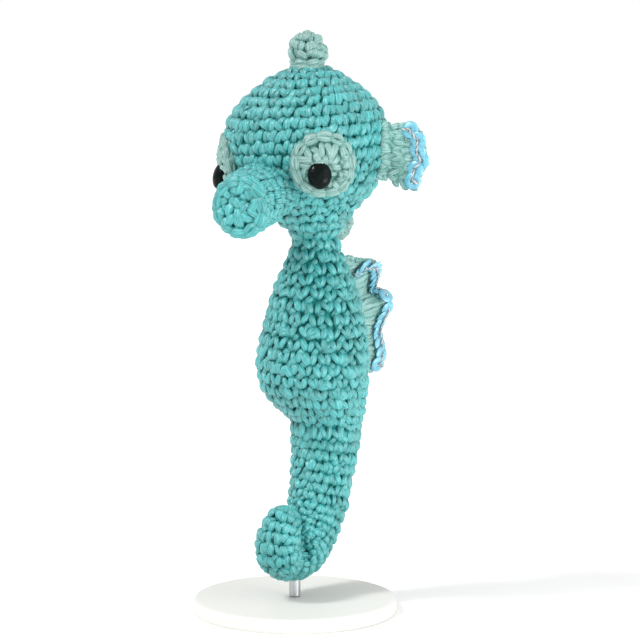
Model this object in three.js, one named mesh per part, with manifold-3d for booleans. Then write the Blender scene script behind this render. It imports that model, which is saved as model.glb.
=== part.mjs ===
// A crocheted toy seahorse, stuffed and sewn together, held upright by a plain display stand.
// Millimetres, +Z up. The toy faces -Y, so +X is its own left side.
// The origin is the middle of the underside of the stand's base, straight below the rod.
//
// Head, body and tail are round in section about a middle line that bends only in the YZ plane.
// Each is a cylinder bent along its line, and parted with thin cuts where a name changes.
// What is sewn on is shaped too deep first, then cut back by the surface that it sits on.
import * as THREE from "three";
import { mergeVertices } from "three/addons/utils/BufferGeometryUtils.js";
import Module from "manifold-3d";

const wasm = await Module();
wasm.setup();

const { degToRad, lerp } = THREE.MathUtils;

// ---------- driving dimensions ----------

const GAP = 0.3; // between pieces that touch

// The stand
const BASE_RADIUS = 36;
const BASE_THICKNESS = 5;
const BASE_BEVEL = 1;
const ROD_RADIUS = 2;
const ROD_DEPTH = 7; // how far the rod goes up into the tail
const CLEARANCE = 6; // from the base up to the lowest point of the tail

// The toy's own frame has its zero height at the lowest point of the tail.
const ROD_AT = -14.5; // along Y in the toy's frame
const TOY_PLACE = new THREE.Vector3(0, -ROD_AT, BASE_THICKNESS + CLEARANCE);

// Middle line of the body and tail from the neck to the tail's tip, with the ring of stitches at
// each entry: [along Y, height, radius, turn]. A level ring has no turn, and the turn grows to 90
// degrees where the line runs straight forward.
const SPINE = [
  [-2.4, 121.0, 8.3, 0], // 0: neck seam
  [-2.7, 112.5, 11.2, 0],
  [-2.7, 104.0, 14.8, 0], // 2: shoulder
  [-3.1, 93.0, 17.9, 0],
  [-3.9, 80.0, 20.1, 0], // 4: widest part of the belly
  [-3.5, 69.5, 19.5, 0],
  [-0.3, 61.5, 16.7, 0],
  [3.3, 55.0, 13.4, 2], // 7: waist, where the tail starts
  [3.0, 48.0, 12.6, 5],
  [1.4, 38.0, 11.6, 9], // 9
  [-0.6, 28.5, 11.1, 14],
  [-4.0, 20.0, 10.4, 25], // 11: the curl starts
  [-7.7, 13.6, 9.8, 42],
  [-12.3, 9.8, 9.5, 68],
  [-17.6, 9.2, 9.1, 100], // 14: lowest part
  [-22.6, 11.2, 8.7, 140],
  [-24.2, 15.8, 8.1, 180], // 16: foremost part
  [-21.8, 20.8, 7.1, 205],
  [-19.7, 24.6, 5.7, 209],
  [-18.7, 26.7, 3.2, 208],
  [-18.4, 27.4, 0.4, 206], // 20: rounded tip
];
// Lengths of the body and tail: [name, first and last entry of SPINE, rings of facets].
const LENGTHS = [
  ["neck", 0, 2, 4],
  ["trunk", 2, 7, 10],
  ["tail_root", 7, 9, 5],
  ["tail_middle", 9, 11, 5],
  ["tail_bend", 11, 15, 10],
  ["tail_tip", 15, 20, 12],
];
const FULLEST_BEND = 0.8; // share of a bend's own radius that the tail's inner side may fill

// Middle line of the head from the crown to the neck: [along Y, height, radius].
const SKULL = [
  [-6.4, 182.0, 0.5], // 0: crown
  [-6.4, 181.0, 7.0],
  [-6.6, 178.3, 12.6],
  [-7.0, 173.2, 19.8],
  [-7.4, 167.5, 25.2],
  [-8.0, 161.5, 28.2],
  [-8.4, 153.5, 28.5], // 6: widest part
  [-7.6, 145.0, 26.8],
  [-6.2, 137.6, 22.6],
  [-4.8, 130.5, 15.6],
  [-3.6, 125.4, 11.4],
  [-2.8, 122.4, 8.8],
  [-2.4, 120.0, 8.3], // 12: neck
];
const HEAD_RING_TURN = -2; // degrees, as above: the head's rings tip forward a little
const SKULL_RINGS = 20;
const FACE_TURN = degToRad(3); // the whole face looks a little to its left
const FACE_SLANT = 1.6; // the right eye and its patch sit this much lower than the left

// The snout is a short tube with a slightly domed end.
const SNOUT_RADIUS = 11.2;
const SNOUT_LENGTH = 30;
const SNOUT_DOME = 1.6;
const SNOUT_END = new THREE.Vector3(4.2, -50.2, 134.5);
const SNOUT_DROOP = degToRad(13);
const SNOUT_TURN = degToRad(12);

// Two little stuffed balls on a short foot, on the crown and on the nape.
const NUB_RADIUS = 6.8;
const NUB_HEIGHT = 16; // from inside the head to its top
const NUB_FOOT = degToRad(-25); // where the ball gives way to the foot, from its equator
const NUB_ARC_STEPS = 8;
const CROWN_NUB_AT = new THREE.Vector3(0, -7.1, 177.4);
const NAPE_NUB_AT = new THREE.Vector3(0, -0.4, 128.9);
const NAPE_NUB_TILT = degToRad(-110);

// Flat rounds of crochet, and the domed plastic eyes pushed through them.
const PATCH_TURN = degToRad(47.5); // from the middle of the face to its side
const PATCH_HEIGHT = 148.5;
const PATCH_RADIUS = 11.2;
const PATCH_THICKNESS = 3;
const EYE_TURN = degToRad(43.5);
const EYE_HEIGHT = 145.2;
const EYE_RADIUS = 4.5;
const EYE_DOME = 3.2;

// Fins are ruffled fans, sewn on along the head or the back, with a row of sequins near the rim.
// from and to are places along the middle line, in entries of SKULL or SPINE, where the root
// starts and ends. The rim is a smooth line through points in the toy's own frame.
const FIN_THICKNESS = 2.4;
const SEQUIN_RADIUS = 3;
const SEQUIN_THICKNESS = 0.8;
const SEQUIN_LIFT = 0.6; // off the fabric, whose facets are coarser
const HEAD_FIN = {
  turn: degToRad(107), // from the toy's front to its side
  from: 5,
  to: 7.1,
  reach: 16, // from the root to the rim, about
  sunk: 6, // how far it would run on inside what carries it
  rim: [
    [37.4, 3.5, 161.2], // top
    [41.4, 3.8, 157.8],
    [41.5, 5.1, 153.3],
    [41.3, 6.2, 149.4],
    [40.7, 4.8, 144.8],
    [38.9, 3.1, 139.0],
  ],
  steps: [4, 10],
  sequins: 7,
};
const DORSAL_FIN = {
  turn: degToRad(180),
  from: 1.2,
  to: 4.5,
  reach: 21,
  sunk: 5,
  rim: [
    [1.0, 14.0, 112.8], // top
    [5.4, 20.0, 111.3], // the top lobe turns to the left
    [3.8, 27.5, 110.0],
    [0.0, 32.0, 104.8],
    [-3.6, 35.3, 99.2], // first fold, and so on from side to side
    [3.0, 36.6, 95.7],
    [0.0, 35.0, 88.0],
    [-1.8, 35.6, 83.0],
    [1.4, 34.0, 75.0],
    [0.4, 30.6, 69.6],
  ],
  steps: [4, 32],
  sequins: 14,
};

// How finely the rest is faceted
const SIDES = 28;
const SMALL_SIDES = 18;
const SMALL_RINGS = 9;
const BASE_SIDES = 60;
const STEPS_PER_SEQUIN = 4;
const FINE_STEP = 1e-3; // share of a line, for its slopes

// ---------- materials ----------

const yarn = new THREE.MeshStandardMaterial({ color: 0x2fa8a4, roughness: 0.85 });
const paleYarn = new THREE.MeshStandardMaterial({ color: 0x9fd6c8, roughness: 0.85 });
const sequinFilm = new THREE.MeshStandardMaterial({ color: 0x62c6ea, roughness: 0.3 });
const blackPlastic = new THREE.MeshStandardMaterial({ color: 0x0a0c0c, roughness: 0.1 });
const paleBoard = new THREE.MeshStandardMaterial({ color: 0xe4e2dc, roughness: 0.6 });
const steel = new THREE.MeshStandardMaterial({ color: 0xb8babc, roughness: 0.35, metalness: 1 });

// ---------- joining and cutting solids ----------

/** The manifold-3d solid of a closed geometry. */
function solidOf(geometry) {
  const bare = geometry.clone();
  bare.deleteAttribute("normal");
  bare.deleteAttribute("uv");
  const merged = mergeVertices(bare, 1e-4);
  const mesh = new wasm.Mesh({
    numProp: 3,
    vertProperties: merged.attributes.position.array,
    triVerts: new Uint32Array(merged.index.array),
  });
  return new wasm.Manifold(mesh);
}

/** The three.js geometry of a manifold-3d solid. */
function geometryOf(solid) {
  const mesh = solid.getMesh();
  return new THREE.BufferGeometry()
    .setAttribute("position", new THREE.BufferAttribute(mesh.vertProperties, 3))
    .setIndex(new THREE.BufferAttribute(mesh.triVerts, 1));
}

/** What is left of one geometry when others are cut away from it. */
function cutBack(geometry, ...others) {
  const left = others.reduce((body, other) => body.subtract(solidOf(other)), solidOf(geometry));
  return geometryOf(left);
}

/** The part that two geometries share. */
function sharedBy(one, other) {
  return geometryOf(solidOf(one).intersect(solidOf(other)));
}

/** Moves each vertex of a geometry to where place(x, y, z) says. */
function bent(geometry, place) {
  const position = geometry.attributes.position;
  for (let i = 0; i < position.count; i++) {
    const [x, y, z] = place(position.getX(i), position.getY(i), position.getZ(i));
    position.setXYZ(i, x, y, z);
  }
  return geometry;
}

// ---------- round bodies about a bent middle line ----------

/** Smooth curves through [along Y, height, radius, turn] entries, both counted from 0 to 1. */
function middleLine(entries) {
  const points = entries.map(([y, z, radius]) => new THREE.Vector3(radius, y, z));
  const turns = entries.map((entry, i) => new THREE.Vector3(degToRad(entry[3]), i, 0));
  return {
    last: entries.length - 1,
    curve: new THREE.CatmullRomCurve3(points, false, "centripetal"),
    turns: new THREE.CatmullRomCurve3(turns, false, "catmullrom"),
  };
}

const spineLine = middleLine(SPINE);
const skullLine = middleLine(SKULL.map((entry) => [...entry, HEAD_RING_TURN]));

/** The middle, radius, turn and bend of a line at a place counted in entries. */
function stationAt(line, place) {
  const t = place / line.last;
  const [t0, t1] = [Math.max(t - FINE_STEP, 0), Math.min(t + FINE_STEP, 1)];
  const [before, after] = [line.curve.getPoint(t0), line.curve.getPoint(t1)];
  const turned = line.turns.getPoint(t1).x - line.turns.getPoint(t0).x;
  const here = line.curve.getPoint(t);
  return {
    y: here.y,
    z: here.z,
    radius: here.x,
    turn: line.turns.getPoint(t).x,
    bend: turned / Math.hypot(after.y - before.y, after.z - before.z),
  };
}

const AT_END = 0.499; // of a unit cylinder's half height, less a rounding error

/**
 * A closed round body along a line, between two places counted in entries.
 * margin lengthens both ends and thickens the body where it is above zero, and shortens the
 * ends where it is below.
 * The inner side of a tight bend is squashed, so that the body never meets itself.
 */
function roundBody(line, from, to, rings, margin) {
  const unit = new THREE.CylinderGeometry(1, 1, 1, SIDES, rings).rotateX(Math.PI / 2);
  return bent(unit, (x, across, along) => {
    const station = stationAt(line, lerp(from, to, along + 0.5));
    const radius = station.radius + Math.max(margin, 0);
    const isInner = across * station.bend > 0;
    const most = FULLEST_BEND / Math.abs(station.bend);
    const side = across * (isInner ? Math.min(radius, most) : radius);
    const atEnd = Math.abs(along) > AT_END ? Math.sign(along) * margin : 0;
    const [sine, cosine] = [Math.sin(station.turn), Math.cos(station.turn)];
    return [
      x * radius,
      station.y - side * cosine - atEnd * sine,
      station.z + side * sine - atEnd * cosine,
    ];
  });
}

/** The head, thickened all over by margin. */
function headBody(margin) {
  return roundBody(skullLine, 0, skullLine.last, SKULL_RINGS, margin);
}

// ---------- ruffled fins ----------

/** The smooth line of a fin's rim. */
function rimOf(fin) {
  const points = fin.rim.map((point) => new THREE.Vector3(...point));
  return new THREE.CatmullRomCurve3(points, false, "centripetal");
}

/**
 * A place on a fin: the distance out from its root, its share of the way along the rim, and
 * the offset to the side that carries the sequins. line carries the root.
 */
function placeOnFin(line, fin, rim, outward, share, offset) {
  const station = stationAt(line, lerp(fin.from, fin.to, share));
  const [outX, outY] = [Math.sin(fin.turn), -Math.cos(fin.turn)];
  const place = new THREE.Vector3(outX * station.radius, station.y + outY * station.radius, station.z);
  place.lerp(rim.getPoint(share), outward / fin.reach);
  return [place.x + outY * offset, place.y - outX * offset, place.z];
}

/** The fin's fabric, running on inside what carries it. */
function finFabric(line, fin) {
  const rim = rimOf(fin);
  const [outSteps, rimSteps] = fin.steps;
  const slab = new THREE.BoxGeometry(1, 1, 1, outSteps, 1, rimSteps);
  return bent(slab, (x, y, z) => {
    const outward = lerp(-fin.sunk, fin.reach, x + 0.5);
    return placeOnFin(line, fin, rim, outward, 0.5 - z, -y * FIN_THICKNESS);
  });
}

/** Overlapping sequins sewn flat on one side of a fin, as one strip with a scalloped outline. */
function finSequins(line, fin) {
  const rim = rimOf(fin);
  const pitch = rim.getLength() / fin.sequins;
  const middle = fin.reach - SEQUIN_RADIUS / 2;
  const strip = new THREE.BoxGeometry(1, 1, 1, 1, 1, fin.sequins * STEPS_PER_SEQUIN);
  return bent(strip, (x, y, z) => {
    const share = 0.5 - z;
    const offCentre = ((share * fin.sequins) % 1) - 0.5;
    const half = Math.sqrt(SEQUIN_RADIUS ** 2 - (offCentre * pitch) ** 2);
    const offset = FIN_THICKNESS / 2 + SEQUIN_LIFT + (0.5 - y) * SEQUIN_THICKNESS;
    return placeOnFin(line, fin, rim, middle + 2 * x * half, share, offset);
  });
}

// ---------- the scene graph ----------

const toy = new THREE.Group();
toy.position.copy(TOY_PLACE);

/** Adds a named mesh to a group. */
function add(group, name, geometry, material) {
  const mesh = new THREE.Mesh(geometry, material);
  mesh.name = name;
  group.add(mesh);
  return mesh;
}

/** Adds a mesh of the toy's left side, and its mirror image on the right. */
function addPair(name, geometry, material) {
  add(toy, `${name}_left`, geometry, material);
  add(toy, `${name}_right`, geometry, material).scale.x = -1;
}

/** A cylinder standing on its lower end. */
function upright(radius, height, sides) {
  return new THREE.CylinderGeometry(radius, radius, height, sides)
    .rotateX(Math.PI / 2)
    .translate(0, 0, height / 2);
}

// Body and tail, with a blind hole for the rod in the underside of the bend
const rodHole = upright(ROD_RADIUS + GAP, CLEARANCE + ROD_DEPTH + GAP, SMALL_SIDES);
rodHole.translate(0, ROD_AT, -CLEARANCE);
/** A named length of the body or tail. */
function lengthBody(name, margin) {
  const [, from, to, rings] = LENGTHS.find(([each]) => each === name);
  return roundBody(spineLine, from, to, rings, margin);
}
const cutters = {
  neck: [headBody(GAP)],
  tail_bend: [rodHole],
  tail_tip: [lengthBody("tail_middle", GAP), lengthBody("tail_bend", GAP)],
};
for (const [name] of LENGTHS) {
  add(toy, name, cutBack(lengthBody(name, -GAP / 2), ...(cutters[name] ?? [])), yarn);
}

// Head and snout
add(toy, "head", headBody(0), yarn);
/** The snout, thickened by margin. */
function snoutBody(margin) {
  const radius = SNOUT_RADIUS + margin;
  const profile = [
    new THREE.Vector2(0, 0),
    new THREE.Vector2(radius, 0),
    new THREE.Vector2(radius, SNOUT_LENGTH - 2 * SNOUT_DOME),
    new THREE.Vector2(radius - SNOUT_DOME, SNOUT_LENGTH - SNOUT_DOME),
    new THREE.Vector2(radius / 2, SNOUT_LENGTH - SNOUT_DOME / 4),
    new THREE.Vector2(0, SNOUT_LENGTH),
  ];
  return new THREE.LatheGeometry(profile, SMALL_SIDES)
    .translate(0, -SNOUT_LENGTH, 0)
    .rotateX(Math.PI + SNOUT_DROOP)
    .rotateZ(SNOUT_TURN)
    .translate(...SNOUT_END);
}
add(toy, "snout", cutBack(snoutBody(0), headBody(GAP)), yarn);

// Nubs
const nubProfile = [new THREE.Vector2(0, 0), new THREE.Vector2(NUB_RADIUS * Math.cos(NUB_FOOT), 0)];
for (let i = 0; i <= NUB_ARC_STEPS; i++) {
  const angle = lerp(NUB_FOOT, Math.PI / 2, i / NUB_ARC_STEPS);
  const height = NUB_HEIGHT - NUB_RADIUS + NUB_RADIUS * Math.sin(angle);
  nubProfile.push(new THREE.Vector2(i < NUB_ARC_STEPS ? NUB_RADIUS * Math.cos(angle) : 0, height));
}
const nub = new THREE.LatheGeometry(nubProfile, SMALL_SIDES).rotateX(Math.PI / 2);
const crownNub = nub.clone().translate(...CROWN_NUB_AT);
add(toy, "crown_nub", cutBack(crownNub, headBody(GAP)), paleYarn);
const napeNub = nub.clone().rotateX(NAPE_NUB_TILT).translate(...NAPE_NUB_AT);
add(toy, "nape_nub", cutBack(napeNub, headBody(GAP), lengthBody("neck", GAP)), paleYarn);

// Eye patches follow the head, and the eyes are half sunk domes that face straight out of it.
/** The place along the skull, counted in entries, where its middle line is at a height. */
function placeAtHeight(height) {
  const below = SKULL.findIndex(([, z]) => z <= height);
  const [upper, lower] = [SKULL[below - 1][1], SKULL[below][1]];
  return below - (height - lower) / (upper - lower);
}
/** Moves what stands up at the origin onto the head, where it points straight out. */
function onFace(geometry, turn, height, distance) {
  const place = placeAtHeight(height);
  const [above, here, under] = [place - 0.5, place, place + 0.5].map((at) => stationAt(skullLine, at));
  const overhang = Math.atan2(above.radius - under.radius, above.z - under.z);
  return geometry
    .rotateX(Math.PI / 2 + overhang)
    .translate(0, -here.radius - distance, 0)
    .rotateZ(turn)
    .translate(0, here.y, height);
}
const [patchBed, patchShell] = [GAP, GAP + PATCH_THICKNESS].map(headBody);
for (const [side, sign] of [["left", 1], ["right", -1]]) {
  const drop = sign < 0 ? FACE_SLANT : 0;
  const punch = upright(PATCH_RADIUS, 2 * PATCH_RADIUS, SIDES).translate(0, 0, -PATCH_RADIUS);
  const patch = onFace(punch, FACE_TURN + sign * PATCH_TURN, PATCH_HEIGHT - drop, 0);
  add(toy, `eye_patch_${side}`, cutBack(sharedBy(patch, patchShell), patchBed, snoutBody(GAP)), paleYarn);
  const dome = new THREE.SphereGeometry(EYE_RADIUS, SMALL_SIDES, SMALL_RINGS)
    .rotateX(Math.PI / 2)
    .scale(1, 1, EYE_DOME / EYE_RADIUS);
  const seat = GAP + PATCH_THICKNESS;
  const eye = onFace(dome, FACE_TURN + sign * EYE_TURN, EYE_HEIGHT - drop, seat);
  const seated = cutBack(eye, headBody(2 * GAP + PATCH_THICKNESS));
  add(toy, `eye_${side}`, seated, blackPlastic);
}

// Fins
addPair("head_fin", cutBack(finFabric(skullLine, HEAD_FIN), headBody(GAP)), paleYarn);
addPair("head_fin_sequins", finSequins(skullLine, HEAD_FIN), sequinFilm);
const neckAndTrunk = [lengthBody("neck", GAP), lengthBody("trunk", GAP)];
add(toy, "dorsal_fin", cutBack(finFabric(spineLine, DORSAL_FIN), ...neckAndTrunk), paleYarn);
add(toy, "dorsal_fin_sequins", finSequins(spineLine, DORSAL_FIN), sequinFilm);

// The stand
const seahorse = new THREE.Group();
const baseProfile = [
  new THREE.Vector2(0, 0),
  new THREE.Vector2(BASE_RADIUS, 0),
  new THREE.Vector2(BASE_RADIUS, BASE_THICKNESS - BASE_BEVEL),
  new THREE.Vector2(BASE_RADIUS - BASE_BEVEL, BASE_THICKNESS),
  new THREE.Vector2(0, BASE_THICKNESS),
];
const base = new THREE.LatheGeometry(baseProfile, BASE_SIDES).rotateX(Math.PI / 2);
add(seahorse, "stand_base", base, paleBoard);
const rod = upright(ROD_RADIUS, CLEARANCE + ROD_DEPTH - GAP, SMALL_SIDES);
add(seahorse, "stand_rod", rod.translate(0, 0, BASE_THICKNESS + GAP), steel);
seahorse.add(toy);

export default seahorse;
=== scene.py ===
# The looks of a crocheted toy seahorse on its display stand.
# Lengths in this script are millimetres in the part's own frame (+Z up, the toy faces -Y, +X is
# its left side), and become metres only where a mesh, light or camera is made.
#
# Every stitch is made of plied strands of yarn, laid on the same surfaces as the CAD solids, so
# the rounds of stitches have the solids' outline. A core, darkened by painted shade in places,
# fills each piece from within.
import math
import bpy
import numpy as np
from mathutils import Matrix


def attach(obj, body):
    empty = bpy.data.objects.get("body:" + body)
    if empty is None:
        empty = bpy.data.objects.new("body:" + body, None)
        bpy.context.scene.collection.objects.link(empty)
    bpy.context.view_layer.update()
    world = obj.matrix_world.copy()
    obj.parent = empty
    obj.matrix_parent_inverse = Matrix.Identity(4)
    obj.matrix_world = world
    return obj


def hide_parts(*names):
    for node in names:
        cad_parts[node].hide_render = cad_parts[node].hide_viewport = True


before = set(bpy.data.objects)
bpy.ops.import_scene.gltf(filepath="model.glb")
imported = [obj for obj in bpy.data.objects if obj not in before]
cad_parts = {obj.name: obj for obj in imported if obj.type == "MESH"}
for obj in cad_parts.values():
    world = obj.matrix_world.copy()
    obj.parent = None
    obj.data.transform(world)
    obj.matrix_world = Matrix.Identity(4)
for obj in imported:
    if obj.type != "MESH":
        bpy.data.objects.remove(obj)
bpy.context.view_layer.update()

MM = 0.001

# ---------- driving dimensions, as in the CAD source ----------

TOY_PLACE = np.array([0.0, 14.5, 11.0])
SPINE = [  # along Y, height, radius, turn in degrees
    (-2.4, 121.0, 8.3, 0),
    (-2.7, 112.5, 11.2, 0),
    (-2.7, 104.0, 14.8, 0),
    (-3.1, 93.0, 17.9, 0),
    (-3.9, 80.0, 20.1, 0),
    (-3.5, 69.5, 19.5, 0),
    (-0.3, 61.5, 16.7, 0),
    (3.3, 55.0, 13.4, 2),
    (3.0, 48.0, 12.6, 5),
    (1.4, 38.0, 11.6, 9),
    (-0.6, 28.5, 11.1, 14),
    (-4.0, 20.0, 10.4, 25),
    (-7.7, 13.6, 9.8, 42),
    (-12.3, 9.8, 9.5, 68),
    (-17.6, 9.2, 9.1, 100),
    (-22.6, 11.2, 8.7, 140),
    (-24.2, 15.8, 8.1, 180),
    (-21.8, 20.8, 7.1, 205),
    (-19.7, 24.6, 5.7, 209),
    (-18.7, 26.7, 3.2, 208),
    (-18.4, 27.4, 0.4, 206),
]
SPINE_LENGTHS = {
    "neck": (0, 2),
    "trunk": (2, 7),
    "tail_root": (7, 9),
    "tail_middle": (9, 11),
    "tail_bend": (11, 15),
    "tail_tip": (15, 20),
}
FULLEST_BEND = 0.8  # share of a bend's radius that its inside reaches in by at most
TAIL_FOLDS = [  # place, angle from the front, depth, half length and half angle of each
    (13.9, math.radians(60), 5.6, 3.2, math.radians(36)),
]
HEAD_RING_TURN = -2  # degrees
SKULL = [(*ring, HEAD_RING_TURN) for ring in (  # along Y, height, radius
    (-6.4, 182.0, 0.5),
    (-6.4, 181.0, 7.0),
    (-6.6, 178.3, 12.6),
    (-7.0, 173.2, 19.8),
    (-7.4, 167.5, 25.2),
    (-8.0, 161.5, 28.2),
    (-8.4, 153.5, 28.5),
    (-7.6, 145.0, 26.8),
    (-6.2, 137.6, 22.6),
    (-4.8, 130.5, 15.6),
    (-3.6, 125.4, 11.4),
    (-2.8, 122.4, 8.8),
    (-2.4, 120.0, 8.3),
)]
FACE_TURN = math.radians(3)
FACE_SLANT = 1.6
SNOUT_RADIUS = 11.2
SNOUT_LENGTH = 30
SNOUT_EDGE = 2.5  # rounding of its end
SNOUT_END = np.array([4.2, -50.2, 134.5])
SNOUT_DROOP = math.radians(13)
SNOUT_TURN = math.radians(12)
NUB_RADIUS = 6.8
NUB_HEIGHT = 16
NUB_FOOT = math.radians(-25)
CROWN_NUB_AT = np.array([0, -7.1, 177.4])
NAPE_NUB_AT = np.array([0, -0.4, 128.9])
NAPE_NUB_TILT = math.radians(-110)
PATCH_TURN = math.radians(47.5)
PATCH_HEIGHT = 148.5
PATCH_RADIUS = 11.2
EYE_TURN = math.radians(43.5)
EYE_HEIGHT = 145.2
EYE_RADIUS = 4.5
EYE_DOME = 3.2
EYE_WRAP = math.radians(115)  # how far the dome goes round and under itself
PATCH_SEAT = 3.3  # from the head to a patch's outer side
PATCH_TILT = 0.18  # how far a patch stands off the head at its lower edge, as a slope
HEAD_FIN = dict(turn=math.radians(107), start=5, end=7.1, reach=16, rim=[
    (37.4, 3.5, 161.2),
    (41.4, 3.8, 157.8),
    (41.5, 5.1, 153.3),
    (41.3, 6.2, 149.4),
    (40.7, 4.8, 144.8),
    (38.9, 3.1, 139.0),
])
DORSAL_FIN = dict(turn=math.radians(180), start=1.2, end=4.5, reach=21, rim=[
    (1.0, 14.0, 112.8),
    (5.4, 20.0, 111.3),
    (3.8, 27.5, 110.0),
    (0.0, 32.0, 104.8),
    (-3.6, 35.3, 99.2),
    (3.0, 36.6, 95.7),
    (0.0, 35.0, 88.0),
    (-1.8, 35.6, 83.0),
    (1.4, 34.0, 75.0),
    (0.4, 30.6, 69.6),
])
BASE_RADIUS = 36
BASE_THICKNESS = 5
BASE_BEVEL = 1
ROD_RADIUS = 2
ROD_DEPTH = 7  # into the tail
CLEARANCE = 6  # from the base up to the tail
GAP = 0.3  # from the base up to the rod
SMALL_EDGE = 0.3  # chamfer at the base's foot
ROD_EDGE = 0.4  # chamfer at the rod's top

# ---------- yarn and stitches ----------

YARN_RADIUS = 1.05
PLIES = 6
RINGS = 9  # cross-sections along a strand
TWIST = 0.16  # radians per mm: the lay of the plies
GROOVE = 0.88  # radius between two plies, as a share of the radius over them
STRAND_END = 0.42  # radius at a strand's ends, as a share of that at its middle
TIP = 0.3  # how far a strand's point stands out past its last cross-section
CORE_DEPTH = 2.1  # from the outside of the stitches down to the core
SNOUT_CORE_DEPTH = 1.7
LINE_SAMPLES = 3001  # along a body's middle line
NEAR_AXIS = 0.01  # how near a profile comes to its axis, where it still has normals
BEND_SHARE = 0.7  # how far the rows are spaced by the outside of a bend
SEAM = math.pi  # angle at which the rounds start
HEAD_TILT = 0.08  # slope of the head's rounds, which tip sideways as seen from the next angle
HEAD_TILT_AT = math.radians(38)
WIDEST = 6.3  # entry of SKULL below which the rounds get smaller again
STITCH_SHAKE = (0.035, 0.04, 0.14)  # spread of a whole stitch across, up and out
STRAND_SHAKE = (0.04, 0.045, 0.12)  # and of each of its strands
STRAND_LEAN = 0.14
rng = np.random.default_rng(20)

# Stitch width and row height of each piece's rounds.
TAIL_GAUGE = (5.1, 4.15)
TRUNK_GAUGE = (5.2, 4.6)
HEAD_GAUGE = (5.3, 4.5)
SNOUT_GAUGE = (5.1, 4.4)
SNOUT_FACE_GAUGE = (6.0, 4.1)
NUB_GAUGE = (4.8, 4.0)
PATCH_GAUGE = (5.0, 3.9)

# Fins are two layers of stitches on a thin sheet, with sequins and thread on one side.
FIN_HALF = 1.2  # from a fin's middle to the outside of its stitches
FIN_DIVE = 0.3  # keeps the strands' ends on their own side of the fin
SHEET_HALF = 0.35
SHEET_SUNK = 1.5  # how far the sheet goes on into the body
SHEET_SHORT = 1.0  # from the sheet's edge to the rim
SHEET_ROWS = 14
SHEET_COLUMNS = 36  # for each row of the fin's stitches
SEQUIN_LIFT = 0.9  # from the outside of the stitches
SEQUIN_SIDES = 28
SEQUIN_CUP = [  # closed profile of (distance from the middle, height)
    (0.55, 0.3), (1.4, 0.28), (2.2, 0.1), (3.0, -0.22),
    (3.03, -0.34), (2.2, -0.03), (1.4, 0.15), (0.58, 0.17),
]
THREAD_ENDS = (3.2, 2.6)  # how far the thread goes past the first and the last hole
THREAD_ARCH = [  # share of the way from hole to hole, and height
    (0.0, -0.25), (0.12, 0.55), (0.5, 0.7), (0.88, 0.55), (1.0, -0.25),
]

# Places on the OFBake map.
BAKE_MARGIN = 0.02
BAKE_SPAN = 0.94
BAKE_STRAND = 0.003  # width of a strand on its piece's map

# Stitches are seen from outside with the work growing upwards, from the foot of their V. Each
# strand has points (across in stitch widths, up in rows, out in mm) and a half width and depth.
LOOSE_CROCHET = (
    ([(-0.53, 0.94, -1.9), (-0.45, 0.76, -0.5), (-0.3, 0.45, 0.2), (-0.16, 0.16, 0.15),
      (-0.07, -0.03, -1.2)], 1.28, 0.96),
    ([(0.32, 0.96, -1.9), (0.29, 0.78, -0.5), (0.21, 0.47, 0.22), (0.12, 0.18, 0.18),
      (0.06, -0.01, -1.2)], 1.24, 0.96),
    ([(0.2, -0.34, -1.8), (0.32, -0.24, -0.7), (0.46, -0.1, -0.15), (0.6, 0.05, -0.45),
      (0.7, 0.14, -1.6)], 1.18, 0.96),
)
OPEN_FAN = tuple(
    ([(-0.14, 0.0, -1.2), (0.24 * x, 0.24 * y, -0.05), (0.52 * x, 0.52 * y, 0.3),
      (0.8 * x, 0.8 * y, 0.1), (1.02 * x, 1.02 * y, -1.3)], 1.0, 0.85)
    for x, y in ((-0.48, 0.86), (-0.05, 1.0), (0.35, 0.9), (0.66, 0.62), (0.84, 0.26))
)
TIGHT_CROCHET = (
    ([(-0.57, 0.78, -1.9), (-0.47, 0.62, -0.5), (-0.3, 0.37, 0.15), (-0.13, 0.11, 0.2),
      (-0.02, -0.08, -1.2)], 1.38, 1.0),
    ([(0.17, 0.97, -1.9), (0.15, 0.8, -0.5), (0.1, 0.47, 0.2), (0.04, 0.14, 0.25),
      (-0.01, -0.08, -1.2)], 1.34, 1.0),
    ([(0.76, 0.64, -1.8), (0.65, 0.48, -0.3), (0.50, 0.21, 0.2), (0.4, -0.03, 0.1),
      (0.34, -0.2, -1.2)], 1.30, 1.0),
)
FAN_POST = (
    ([(-0.48, 1.06, -0.8), (-0.38, 0.8, 0.1), (-0.24, 0.46, 0.4), (-0.16, 0.16, 0.2),
      (-0.1, -0.08, -0.7)], 1.45, 0.9),
    ([(0.4, 1.06, -0.8), (0.32, 0.8, 0.1), (0.22, 0.46, 0.4), (0.16, 0.16, 0.2),
      (0.12, -0.08, -0.7)], 1.45, 0.9),
    ([(0.00, 1.00, -0.9), (0.02, 0.74, -0.1), (0.02, 0.48, 0.2), (0.0, 0.22, 0.0),
      (-0.02, 0.0, -0.8)], 1.25, 0.8),
)
SHELL_RIBS = 6
SHELL = tuple(
    ([(0.62 * x, -0.06, -1.2), (0.74 * x, 0.24, -0.1), (0.86 * x, 0.52, 0.3),
      (0.96 * x, 0.8, 0.1), (1.04 * x, 1.05, -1.2)], 0.92, 0.8)
    for x in np.linspace(-0.45, 0.45, SHELL_RIBS)
)
# One leg of a chain stitch along a rim. Its points go up in halves of the chain's width.
CHAIN_LEG = ([(-0.25, 0.1, -1.3), (0.05, 0.75, -0.15), (0.45, 1.0, 0.1), (0.85, 0.6, -0.05),
              (1.15, 0.0, -1.2)], 1.15, 1.0)


def unit(vectors):
    """The vectors, each made one long."""
    return vectors / np.maximum(np.linalg.norm(vectors, axis=-1, keepdims=True), 1e-9)


def heading(turn, rise=0.0):
    """The direction at a turn from the front about Z, and at a rise."""
    return np.array([math.sin(turn) * math.cos(rise), -math.cos(turn) * math.cos(rise),
                     math.sin(rise)])


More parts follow.
